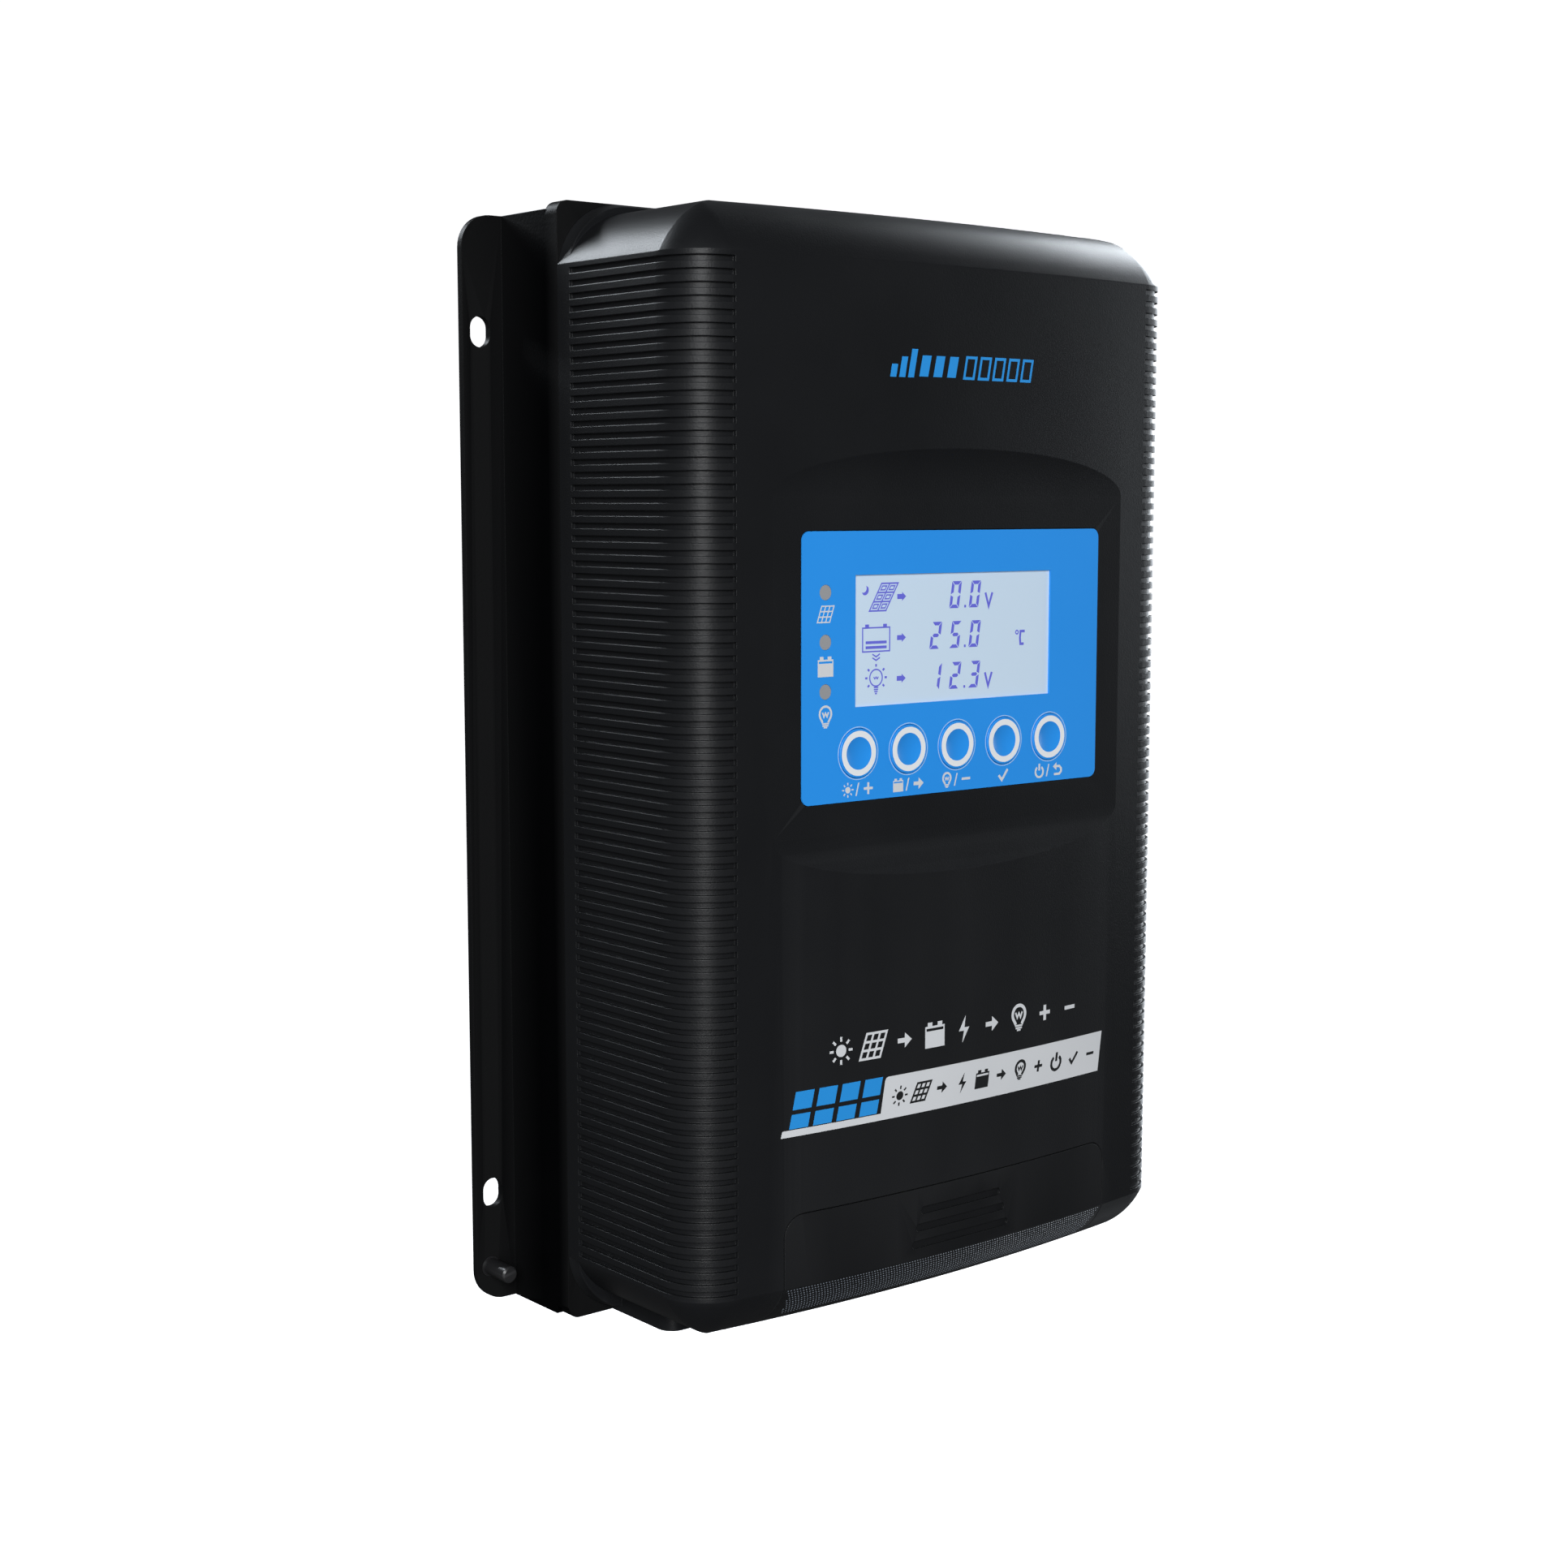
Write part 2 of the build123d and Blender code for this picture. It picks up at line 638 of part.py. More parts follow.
with BuildPart() as clamp_bars:
    plates([(0, z) for z in transistor_rows], 70, 8, package_front_y, bar_front_y)
    rods(clamp_spots, 1.6, package_front_y, bar_front_y, Mode.SUBTRACT)
save(clamp_bars, "clamp_bars")

with BuildPart() as clamp_screws:
    rods(clamp_spots, 2.6, bar_front_y, bar_front_y - 1.8)
    rods(clamp_spots, thread_hole - 0.05, plate_front_y + thread_depth - 1, bar_front_y)
save(clamp_screws, "clamp_screws")

# ---------------------------------------------------------------- parts on the main board
core_outer, core_inner, core_length = 18.0, 9.2, 14.0
wire = 1.8
turns = 20
inductor_z = 84.0
core_rear_y = pcb_front_y - wire - 0.2

for side_name, x in (("left", -26.0), ("right", 26.0)):
    with BuildPart() as core:
        rods([(x, inductor_z)], core_outer, core_rear_y, core_rear_y - core_length)
        rods([(x, inductor_z)], core_inner, core_rear_y, core_rear_y - core_length, Mode.SUBTRACT)
        fillet(core.edges().filter_by(GeomType.CIRCLE), radius=1)
    save(core, "inductor_core_" + side_name)
    # each turn is a closed loop round the core
    with BuildPart() as winding:
        middle = (core_outer + core_inner) / 2
        ring = core_outer - core_inner + 0.2
        centre = Plane(
            origin=(x, core_rear_y - core_length / 2, inductor_z), x_dir=(1, 0, 0), z_dir=(0, -1, 0)
        )
        with Locations(centre):
            with PolarLocations(middle, turns):
                Box(ring + 2 * wire, wire, core_length + 0.2 + 2 * wire)
                Box(ring, 2 * wire, core_length + 0.2, mode=Mode.SUBTRACT)
    save(winding, "inductor_winding_" + side_name)


def electrolytic(spots, radius, height):
    """Round electrolytic cans standing on the board, with a rolled groove near the foot."""
    rods(spots, radius, pcb_front_y, pcb_front_y - height)
    with BuildSketch(front_plane(pcb_front_y - 2.5)) as rolled_groove:
        with Locations(*spots):
            Circle(radius)
            Circle(radius - 0.5, mode=Mode.SUBTRACT)
    extrude(rolled_groove.sketch, amount=1.2, mode=Mode.SUBTRACT)


with BuildPart() as input_capacitors:
    electrolytic([(x, 46.0) for x in (-42.0, -23.0, 23.0, 42.0)], 8.0, 25.0)
save(input_capacitors, "input_capacitors")

with BuildPart() as output_capacitors:
    electrolytic([(x, -34.0) for x in (-44.0, -22.0, 0.0, 22.0, 44.0)], 9.0, 30.0)
save(output_capacitors, "output_capacitors")

with BuildPart() as current_shunts:
    for x in (-24.0, 24.0):
        with BuildSketch(Plane.XZ.offset(-pcb_front_y)):
            with Locations((x, -64.0)):
                Rectangle(24, 5)
        extrude(amount=6)
        block_between((x - 10.5, pcb_front_y - 4.6, -67), (x + 10.5, pcb_front_y, -61), Mode.SUBTRACT)
save(current_shunts, "current_shunts")

with BuildPart() as fuses:
    plates([(x, -80.0) for x in (-22.0, 0.0, 22.0)], 11, 4, pcb_front_y, pcb_front_y - 16)
save(fuses, "fuses")

with BuildPart() as control_chips:
    plates([(0, 14.0)], 12, 12, pcb_front_y, pcb_front_y - 1.4)
    plates([(-30, 14.0), (30, 14.0), (0, -62.0)], 8, 6, pcb_front_y, pcb_front_y - 1.6)
save(control_chips, "control_chips")

# ---------------------------------------------------------------- ribbon between the boards
ribbon_width = 15.0
ribbon_half = 0.45
ribbon_low_z, ribbon_high_z = 30.0, 46.0
header_width = ribbon_width + 4
header_height = 5.6
header_depth = 6.0
low_header_y = pcb_front_y - header_depth
high_header_y = display_pcb_rear_y + header_depth

with BuildPart() as ribbon_headers:
    plates([(0, ribbon_low_z)], header_width, header_height, pcb_front_y, low_header_y)
    plates([(0, ribbon_high_z)], header_width, header_height, high_header_y, display_pcb_rear_y)
save(ribbon_headers, "ribbon_headers")

with BuildPart() as display_ribbon:
    start_y = low_header_y - ribbon_half
    end_y = high_header_y + ribbon_half
    middle_y = (start_y + end_y) / 2
    with BuildSketch(Plane.YZ.offset(-ribbon_width / 2)):
        with BuildLine() as route:
            FilletPolyline(
                (start_y, ribbon_low_z),
                (middle_y, ribbon_low_z),
                (middle_y, ribbon_high_z),
                (end_y, ribbon_high_z),
                radius=6.5,
            )
            offset(route.line, amount=ribbon_half, side=Side.BOTH)
        make_face()
    extrude(amount=ribbon_width)
save(display_ribbon, "display_ribbon")

# ---------------------------------------------------------------- terminals and sockets
block_half_width = 3 * terminal_pitch + 0.9
front_wall_y = block_front_y + 2.8
cage_front_y = cage_rear_y - cage_length
cavity_rear_y = cage_rear_y + 0.3
mouth_half_width = 4.3
slot_half_width = 4.0
bar_half_width = 3.9
bar_thickness = 1.8
wire_front_y = -47.5
wire_rear_y = cage_rear_y - 2.0
bar_strip = (-49.4, -47.6)
cage_wall = 2.0
head_radius = 4.0
head_thickness = 1.8
screw_head_y = block_front_y + 0.2
screw_tip_y = -50.3
terminal_spots = [(x, terminal_z) for x in terminal_x]
bar_top_z = -95.0

with BuildPart() as terminal_block:
    block_between(
        (-block_half_width, block_front_y, block_low_z), (block_half_width, pcb_front_y, block_high_z)
    )
    plates(
        terminal_spots, cage_width + 0.6, cage_height + 0.6, cavity_rear_y, front_wall_y, Mode.SUBTRACT
    )
    rods(terminal_spots, head_radius + 0.3, block_front_y + 2.0, block_front_y, Mode.SUBTRACT)
    rods(terminal_spots, terminal_thread + 0.05, front_wall_y, block_front_y, Mode.SUBTRACT)
    for x in terminal_x:
        # wire mouth underneath
        block_between(
            (x - mouth_half_width, wire_front_y, block_low_z),
            (x + mouth_half_width, wire_rear_y, terminal_z),
            Mode.SUBTRACT,
        )
        # slot that the contact bar runs through, up and then back to the board
        block_between(
            (x - slot_half_width, bar_strip[0] - 0.1, terminal_z),
            (x + slot_half_width, bar_strip[1] + 0.1, bar_top_z + 0.1),
            Mode.SUBTRACT,
        )
        block_between(
            (x - slot_half_width, bar_strip[0] - 0.1, bar_top_z - bar_thickness - 0.1),
            (x + slot_half_width, pcb_front_y, bar_top_z + 0.1),
            Mode.SUBTRACT,
        )
save(terminal_block, "terminal_block")

with BuildPart() as contact_bars:
    for x in terminal_x:
        block_between(
            (x - bar_half_width, bar_strip[0], terminal_z - 5.3),
            (x + bar_half_width, bar_strip[1], bar_top_z),
        )
        block_between(
            (x - bar_half_width, bar_strip[0], bar_top_z - bar_thickness),
            (x + bar_half_width, pcb_front_y, bar_top_z),
        )
save(contact_bars, "contact_bars")

for number, spot in enumerate(terminal_spots, start=1):
    with BuildPart() as screw:
        rods([spot], head_radius, screw_head_y + head_thickness, screw_head_y)
        fillet(screw.faces().sort_by(Axis.Y)[0].edges(), radius=0.5)
        rods([spot], terminal_thread, screw_tip_y, screw_head_y + head_thickness)
        # driver slot across the head
        plates([spot], 2 * head_radius, 1.0, screw_head_y + 1, screw_head_y, Mode.SUBTRACT)
    save(screw, f"terminal_screw_{number}")
    with BuildPart() as cage:
        plates([spot], cage_width, cage_height, cage_rear_y, cage_front_y)
        window_rear_y, window_front_y = cage_rear_y - cage_wall, cage_front_y + cage_wall
        plates([spot], cage_width - 2.4, cage_height, window_rear_y, window_front_y, Mode.SUBTRACT)
        rods([spot], terminal_thread + 0.05, cage_rear_y - 3, cage_front_y, Mode.SUBTRACT)
    save(cage, f"clamp_cage_{number}")

socket_low_z = -119.8


def socket_shell(x, mouth_width, mouth_depth, end_wall, mouth_end_z):
    """A socket housing on the board with its mouth facing down."""
    outer = mouth_width / 2 + end_wall
    mouth_front_y = mouth_rear_y - mouth_depth
    block_between((x - outer, mouth_front_y - 1.9, socket_low_z), (x + outer, pcb_front_y, mouth_end_z + 2))
    block_between(
        (x - mouth_width / 2, mouth_front_y, socket_low_z),
        (x + mouth_width / 2, mouth_rear_y, mouth_end_z),
        Mode.SUBTRACT,
    )


with BuildPart() as comm_socket:
    socket_shell(comm_x, comm_mouth_width, comm_mouth_depth, 1.8, -108)
save(comm_socket, "comm_socket")

with BuildPart() as sensor_socket:
    socket_shell(sensor_x, sensor_mouth_width, sensor_mouth_depth, 1.0, -111)
    # two contact pins
    for pin_x in (sensor_x - 1.9, sensor_x + 1.9):
        block_between((pin_x - 0.5, -40.7, -117), (pin_x + 0.5, -39.7, -110))
save(sensor_socket, "sensor_socket")
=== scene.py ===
import math
from math import cos, pi, radians, sin

import bmesh
import bpy
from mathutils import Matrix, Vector


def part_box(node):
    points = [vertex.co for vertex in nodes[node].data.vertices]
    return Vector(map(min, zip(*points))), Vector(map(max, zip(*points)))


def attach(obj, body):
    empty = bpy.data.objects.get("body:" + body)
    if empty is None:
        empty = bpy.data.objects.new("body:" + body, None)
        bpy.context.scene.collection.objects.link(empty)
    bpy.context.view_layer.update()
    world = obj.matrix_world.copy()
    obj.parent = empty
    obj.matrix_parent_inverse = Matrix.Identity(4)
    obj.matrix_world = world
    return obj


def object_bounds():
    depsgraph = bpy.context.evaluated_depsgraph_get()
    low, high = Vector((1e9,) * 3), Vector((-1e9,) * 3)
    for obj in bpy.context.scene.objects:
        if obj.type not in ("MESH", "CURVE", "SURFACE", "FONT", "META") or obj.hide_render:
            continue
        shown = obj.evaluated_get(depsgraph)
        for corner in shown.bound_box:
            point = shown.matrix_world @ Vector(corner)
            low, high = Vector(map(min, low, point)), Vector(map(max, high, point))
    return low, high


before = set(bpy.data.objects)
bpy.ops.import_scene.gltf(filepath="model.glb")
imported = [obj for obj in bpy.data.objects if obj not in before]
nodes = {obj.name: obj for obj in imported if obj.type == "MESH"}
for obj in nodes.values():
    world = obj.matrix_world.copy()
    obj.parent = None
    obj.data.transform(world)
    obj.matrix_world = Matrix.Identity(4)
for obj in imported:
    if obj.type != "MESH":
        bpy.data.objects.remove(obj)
cad_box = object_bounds()

MM = 0.001

# ------------------------------------------------------------------ materials

COAT_ROUGHNESS = 0.12
EDGE_START, EDGE_END = 0.53, 0.62  # how pointed a place is where wear begins and is full
GRAIN_DEPTH = 0.00008
EDGE_SAMPLES = 8


def shader(name):
    """A new node material: returns it with its node tree, its main shader and a node maker."""
    mat = bpy.data.materials.new(name)
    mat.use_nodes = True
    tree = mat.node_tree
    principled = tree.nodes["Principled BSDF"]

    def make(kind, **settings):
        node = tree.nodes.new(kind)
        for key, value in settings.items():
            setattr(node, key, value)
        return node

    return mat, tree, principled, make


def surface(name, colour, other, rough, rough_span=0.08, grain=0.0, grain_scale=2600.0, metal=0.0,
            specular=0.5, wear=0.0, coat=0.0, emission=0.0, round_edges=0.0, patch_scale=35.0):
    """A procedural finish: two tones in soft patches, uneven roughness, fine grain and paler worn edges."""
    mat, tree, main, make = shader(name)
    link = tree.links.new
    main.inputs["Metallic"].default_value = metal
    main.inputs["Specular IOR Level"].default_value = specular
    main.inputs["Coat Weight"].default_value = coat
    main.inputs["Coat Roughness"].default_value = COAT_ROUGHNESS
    place = make("ShaderNodeTexCoord")

    patches = make("ShaderNodeTexNoise")
    patches.inputs["Scale"].default_value = patch_scale
    patches.inputs["Detail"].default_value = 5.0
    link(place.outputs["Object"], patches.inputs["Vector"])
    mix = make("ShaderNodeMix", data_type="RGBA")
    mix.inputs["A"].default_value = (*colour, 1)
    mix.inputs["B"].default_value = (*other, 1)
    link(patches.outputs["Fac"], mix.inputs["Factor"])
    tone = mix.outputs["Result"]

    if wear:
        geometry = make("ShaderNodeNewGeometry")
        edges = make("ShaderNodeMapRange")
        edges.inputs["From Min"].default_value = EDGE_START
        edges.inputs["From Max"].default_value = EDGE_END
        edges.inputs["To Max"].default_value = wear
        link(geometry.outputs["Pointiness"], edges.inputs["Value"])
        worn = make("ShaderNodeMix", data_type="RGBA")
        worn.inputs["B"].default_value = (*[min(1, c * 3 + 0.05) for c in colour], 1)
        link(edges.outputs["Result"], worn.inputs["Factor"])
        link(tone, worn.inputs["A"])
        tone = worn.outputs["Result"]
    link(tone, main.inputs["Base Color"])
    if emission:
        link(tone, main.inputs["Emission Color"])
        main.inputs["Emission Strength"].default_value = emission

    rough_map = make("ShaderNodeMapRange")
    rough_map.inputs["To Min"].default_value = max(0.03, rough - rough_span)
    rough_map.inputs["To Max"].default_value = rough + rough_span
    link(patches.outputs["Fac"], rough_map.inputs["Value"])
    link(rough_map.outputs["Result"], main.inputs["Roughness"])

    if grain:
        specks = make("ShaderNodeTexNoise")
        specks.inputs["Scale"].default_value = grain_scale
        specks.inputs["Detail"].default_value = 2.0
        link(place.outputs["Object"], specks.inputs["Vector"])
        bump = make("ShaderNodeBump")
        bump.inputs["Strength"].default_value = grain
        bump.inputs["Distance"].default_value = GRAIN_DEPTH
        link(specks.outputs["Fac"], bump.inputs["Height"])
        if round_edges:
            soft = make("ShaderNodeBevel", samples=EDGE_SAMPLES)
            soft.inputs["Radius"].default_value = round_edges
            link(soft.outputs["Normal"], bump.inputs["Normal"])
        link(bump.outputs["Normal"], main.inputs["Normal"])
    return mat


case_black = surface("case_black", (0.0076, 0.0081, 0.0091), (0.0096, 0.0101, 0.0112), 0.40, grain=0.45,
                     specular=0.18, wear=0.10, round_edges=0.0003)
cover_black = surface("cover_black", (0.0072, 0.0076, 0.0085), (0.0090, 0.0094, 0.0103), 0.42, grain=0.25,
                      specular=0.18, wear=0.10, round_edges=0.00018)
# the heat sink's black finish, with its colour made darker still as painted shade for its shadowed web and
# sides
sink_black_and_painted_shade = surface("sink_black_and_painted_shade", (0.0009, 0.0010, 0.0012), (0.0014, 0.0015, 0.0018), 0.42, grain=0.5,
                     grain_scale=1500.0, specular=0.03, wear=0.15, round_edges=0.00025)
panel_blue = surface("panel_blue", (0.021, 0.285, 0.820), (0.024, 0.297, 0.845), 0.38, rough_span=0.04,
                     grain=0.08, grain_scale=1800.0, specular=0.35)
button_blue = surface("button_blue", (0.020, 0.272, 0.790), (0.024, 0.290, 0.830), 0.30, rough_span=0.04,
                      grain=0.06, grain_scale=1200.0, specular=0.4, wear=0.05, round_edges=0.0001)
print_blue = surface("print_blue", (0.020, 0.270, 0.700), (0.026, 0.295, 0.740), 0.45, grain=0.10,
                     specular=0.3)
print_white = surface("print_white", (0.62, 0.64, 0.66), (0.70, 0.71, 0.73), 0.45, grain=0.10, specular=0.3)
print_dark = surface("print_dark", (0.010, 0.011, 0.012), (0.014, 0.015, 0.016), 0.5, grain=0.10,
                     specular=0.3)
ring_white = surface("ring_white", (0.80, 0.82, 0.84), (0.86, 0.87, 0.88), 0.40, grain=0.05, specular=0.35)
line_pale = surface("line_pale", (0.34, 0.55, 0.84), (0.42, 0.62, 0.88), 0.40, grain=0.05, specular=0.35)
glass_pale = surface("glass_pale", (0.600, 0.740, 0.880), (0.625, 0.760, 0.895), 0.30, rough_span=0.03,
                     grain=0.03, specular=0.3, patch_scale=12.0)
segment_violet = surface("segment_violet", (0.135, 0.145, 0.680), (0.155, 0.160, 0.720), 0.35, grain=0.03,
                         specular=0.3)
lens_grey = surface("lens_grey", (0.28, 0.29, 0.30), (0.36, 0.36, 0.37), 0.25, rough_span=0.05, grain=0.05,
                    specular=0.5)
zinc = surface("zinc", (0.50, 0.50, 0.49), (0.62, 0.61, 0.59), 0.30, rough_span=0.10, grain=0.15,
               grain_scale=4000.0, metal=1.0, wear=0.3)
stud_black = surface("stud_black", (0.012, 0.012, 0.013), (0.020, 0.020, 0.021), 0.34, grain=0.2,
                     specular=0.5, wear=0.3)
tinned = surface("tinned", (0.62, 0.60, 0.55), (0.72, 0.70, 0.66), 0.28, grain=0.2, metal=1.0, wear=0.2)
nylon_black = surface("nylon_black", (0.012, 0.012, 0.013), (0.018, 0.018, 0.019), 0.50, grain=0.3, wear=0.15)
board_green = surface("board_green", (0.010, 0.085, 0.035), (0.014, 0.105, 0.045), 0.35, grain=0.2,
                      patch_scale=220.0, coat=0.3)
white_frame = surface("white_frame", (0.62, 0.62, 0.60), (0.70, 0.70, 0.68), 0.45, grain=0.2)
epoxy = surface("epoxy", (0.012, 0.012, 0.012), (0.020, 0.020, 0.020), 0.45, grain=0.3)
pad_grey = surface("pad_grey", (0.30, 0.30, 0.32), (0.38, 0.38, 0.40), 0.80, grain=0.6)
core_yellow = surface("core_yellow", (0.42, 0.30, 0.04), (0.50, 0.36, 0.06), 0.55, grain=0.5, wear=0.3)
copper = surface("copper", (0.60, 0.20, 0.06), (0.70, 0.27, 0.09), 0.25, grain=0.05, metal=0.9, coat=0.6)
sleeve = surface("sleeve", (0.010, 0.010, 0.014), (0.016, 0.016, 0.020), 0.25, grain=0.05, coat=0.3)
alloy = surface("alloy", (0.45, 0.32, 0.20), (0.55, 0.40, 0.26), 0.35, grain=0.2, metal=1.0)
amber = surface("amber", (0.60, 0.24, 0.02), (0.70, 0.30, 0.03), 0.25, grain=0.05)
ribbon_grey = surface("ribbon_grey", (0.30, 0.30, 0.31), (0.36, 0.36, 0.37), 0.60, grain=0.3)

finish = {
    "heat_sink": sink_black_and_painted_shade, "ground_stud": stud_black, "housing": case_black, "housing_screws": zinc,
    "terminal_cover": cover_black, "front_overlay": panel_blue, "lcd_glass": glass_pale,
    "lcd_frame": white_frame, "backlight_panel": white_frame, "led_light_pipes": lens_grey,
    "status_leds": white_frame, "display_pcb": board_green, "display_pcb_screws": zinc,
    "tact_switches": epoxy, "main_pcb": board_green, "pcb_standoffs": zinc, "pcb_screws": zinc,
    "insulating_pads": pad_grey, "power_transistors": epoxy, "clamp_bars": zinc, "clamp_screws": zinc,
    "inductor_core_left": core_yellow, "inductor_core_right": core_yellow,
    "inductor_winding_left": copper, "inductor_winding_right": copper, "input_capacitors": sleeve,
    "output_capacitors": sleeve, "current_shunts": alloy, "fuses": amber, "control_chips": epoxy,
    "ribbon_headers": epoxy, "display_ribbon": ribbon_grey, "terminal_block": nylon_black,
    "contact_bars": tinned, "comm_socket": nylon_black, "sensor_socket": nylon_black,
}
for name, obj in nodes.items():
    if name.startswith("button_"):
        mat = button_blue
    elif name.startswith("terminal_screw"):
        mat = zinc
    elif name.startswith("clamp_cage"):
        mat = tinned
    else:
        mat = finish[name]
    obj.data.materials.clear()
    obj.data.materials.append(mat)

# ------------------------------------------------------------------ flat shapes, in millimetres


def rect(x, z, width, height, slant=0.0):
    """A rectangle centred on (x, z); slant moves its top edge to the right."""
    w, h, s = width / 2, height / 2, slant / 2
    return [[(x - w - s, z - h), (x + w - s, z - h), (x + w + s, z + h), (x - w + s, z + h)]]


def disc(x, z, radius, steps=40):
    turns = [2 * pi * k / steps for k in range(steps)]
    return [[(x + radius * cos(t), z + radius * sin(t)) for t in turns]]


def arc(x, z, radius, start, end, width, steps=40):
    """A curved stroke, with its angles in degrees."""
    out = []
    inner, outer = radius - width / 2, radius + width / 2
    for k in range(steps):
        a, b = (radians(start + (end - start) * (k + i) / steps) for i in (0, 1))
        corners = ((inner, a), (outer, a), (outer, b), (inner, b))
        out.append([(x + r * cos(t), z + r * sin(t)) for r, t in corners])
    return out


def stroke(points, width, closed=False):
    """A line of even width with mitred corners."""
    count = len(points)
    sides = []
    for k, here in enumerate(points):
        if closed:
            before, after = points[k - 1], points[(k + 1) % count]
        else:
            before, after = points[max(0, k - 1)], points[min(count - 1, k + 1)]
        normals = []
        for a, b in ((before, here), (here, after)):
            length = math.dist(a, b)
            if length:
                normals.append(Vector((a[1] - b[1], b[0] - a[0])) / length)
        normal = sum(normals, Vector((0, 0))).normalized()
        reach = width / 2 / max(0.35, normal.dot(normals[0]))
        sides.append(((here[0] + normal.x * reach, here[1] + normal.y * reach),
                      (here[0] - normal.x * reach, here[1] - normal.y * reach)))
    last = count if closed else count - 1
    pairs = [(sides[k], sides[(k + 1) % count]) for k in range(last)]
    return [[a[0], a[1], b[1], b[0]] for a, b in pairs]


def moved(shapes, dx, dz, scale=1.0, slant=0.0):
    """Shapes scaled, slanted and moved; slant is the shift to the right for each unit of height."""
    return [[(x * scale + z * scale * slant + dx, z * scale + dz) for x, z in shape] for shape in shapes]


# Pictograms, each about one unit high and centred on (0, 0).


def sun():
    rays = []
    for k in range(8):
        t = 2 * pi * k / 8
        rays += stroke([(0.33 * cos(t), 0.33 * sin(t)), (0.5 * cos(t), 0.5 * sin(t))], 0.09)
    return disc(0, 0, 0.22, 24) + rays


def panel(columns=3, rows=3, line=0.07, slant=0.35, width=0.9, height=0.9):
    """A solar panel: a slanted frame with its grid."""
    shapes = []
    for k in range(rows + 1):
        z = height * (k / rows - 0.5)
        shapes += rect(z * slant, z, width + line, line, line * slant)
    gap = height / rows - line
    for r in range(rows):
        z = height * ((r + 0.5) / rows - 0.5)
        for k in range(columns + 1):
            shapes += rect(width * (k / columns - 0.5) + z * slant, z, line, gap, gap * slant)
    return shapes


def battery():
    """A battery case with two posts and a strip left open near its top."""
    return (rect(0, -0.16, 0.94, 0.62) + rect(-0.44, 0.20, 0.06, 0.10) + rect(0.44, 0.20, 0.06, 0.10)
            + rect(0, 0.29, 0.94, 0.08) + rect(-0.24, 0.40, 0.22, 0.14) + rect(0.24, 0.40, 0.22, 0.14))


def bulb(line=0.09):
    """A lamp bulb with its base and filament."""
    glass = arc(0, 0.14, 0.34, -40, 220, line, 30)
    neck = stroke([(-0.26, -0.08), (-0.16, -0.24)], line) + stroke([(0.26, -0.08), (0.16, -0.24)], line)
    base = rect(0, -0.29, 0.40, 0.07) + rect(0, -0.38, 0.34, 0.07) + rect(0, -0.46, 0.20, 0.07)
    filament = stroke([(-0.18, 0.22), (-0.09, 0.02), (0, 0.18), (0.09, 0.02), (0.18, 0.22)], 0.075)
    return glass + neck + base + filament


def arrow():
    shaft = [(-0.45, -0.12), (0.0, -0.12), (0.0, 0.12), (-0.45, 0.12)]
    head = [(0.0, -0.38), (0.45, 0.0), (0.0, 0.38)]
    return [shaft, head]


def bolt():
    return [[(0.08, 0.5), (-0.26, -0.06), (0.0, -0.06)], [(0.08, 0.5), (0.0, -0.06), (0.02, 0.06)],
            [(0.02, 0.06), (0.0, -0.06), (-0.08, -0.5), (0.26, 0.06)]]


def plus(line=0.12):
    arm, middle = 0.4 - line / 2, 0.2 + line / 4
    return rect(0, 0, 0.8, line) + rect(0, middle, line, arm) + rect(0, -middle, line, arm)


def minus(line=0.12):
    return rect(0, 0, 0.8, line)


def tick(line=0.13):
    return stroke([(-0.42, -0.02), (-0.12, -0.36), (0.42, 0.36)], line)


def power(line=0.11):
    return arc(0, -0.06, 0.36, 125, 415, line, 32) + rect(0, 0.26, line, 0.46)


def back(line=0.13):
    """An arrow that turns back to the left."""
    tail = [(-0.1, 0.22), (0.2, 0.22), (0.38, 0.04), (0.38, -0.16), (0.2, -0.34), (-0.34, -0.34)]
    head = [(-0.1, 0.5), (-0.46, 0.22), (-0.1, -0.06)]
    return stroke(tail, line) + [head]


# ------------------------------------------------------------------ prints laid on the surfaces


def front_of(node):
    """A function that gives the depth of a CAD node's front surface at (x, z), in metres."""
    obj = nodes[node]
    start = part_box(node)[0][1] - 0.01

    def depth(x, z):
        hit, where, _, _ = obj.ray_cast(Vector((x, start, z)), Vector((0, 1, 0)))
        return where.y if hit else start + 0.01

    return depth


def flat(y):
    return lambda x, z: y


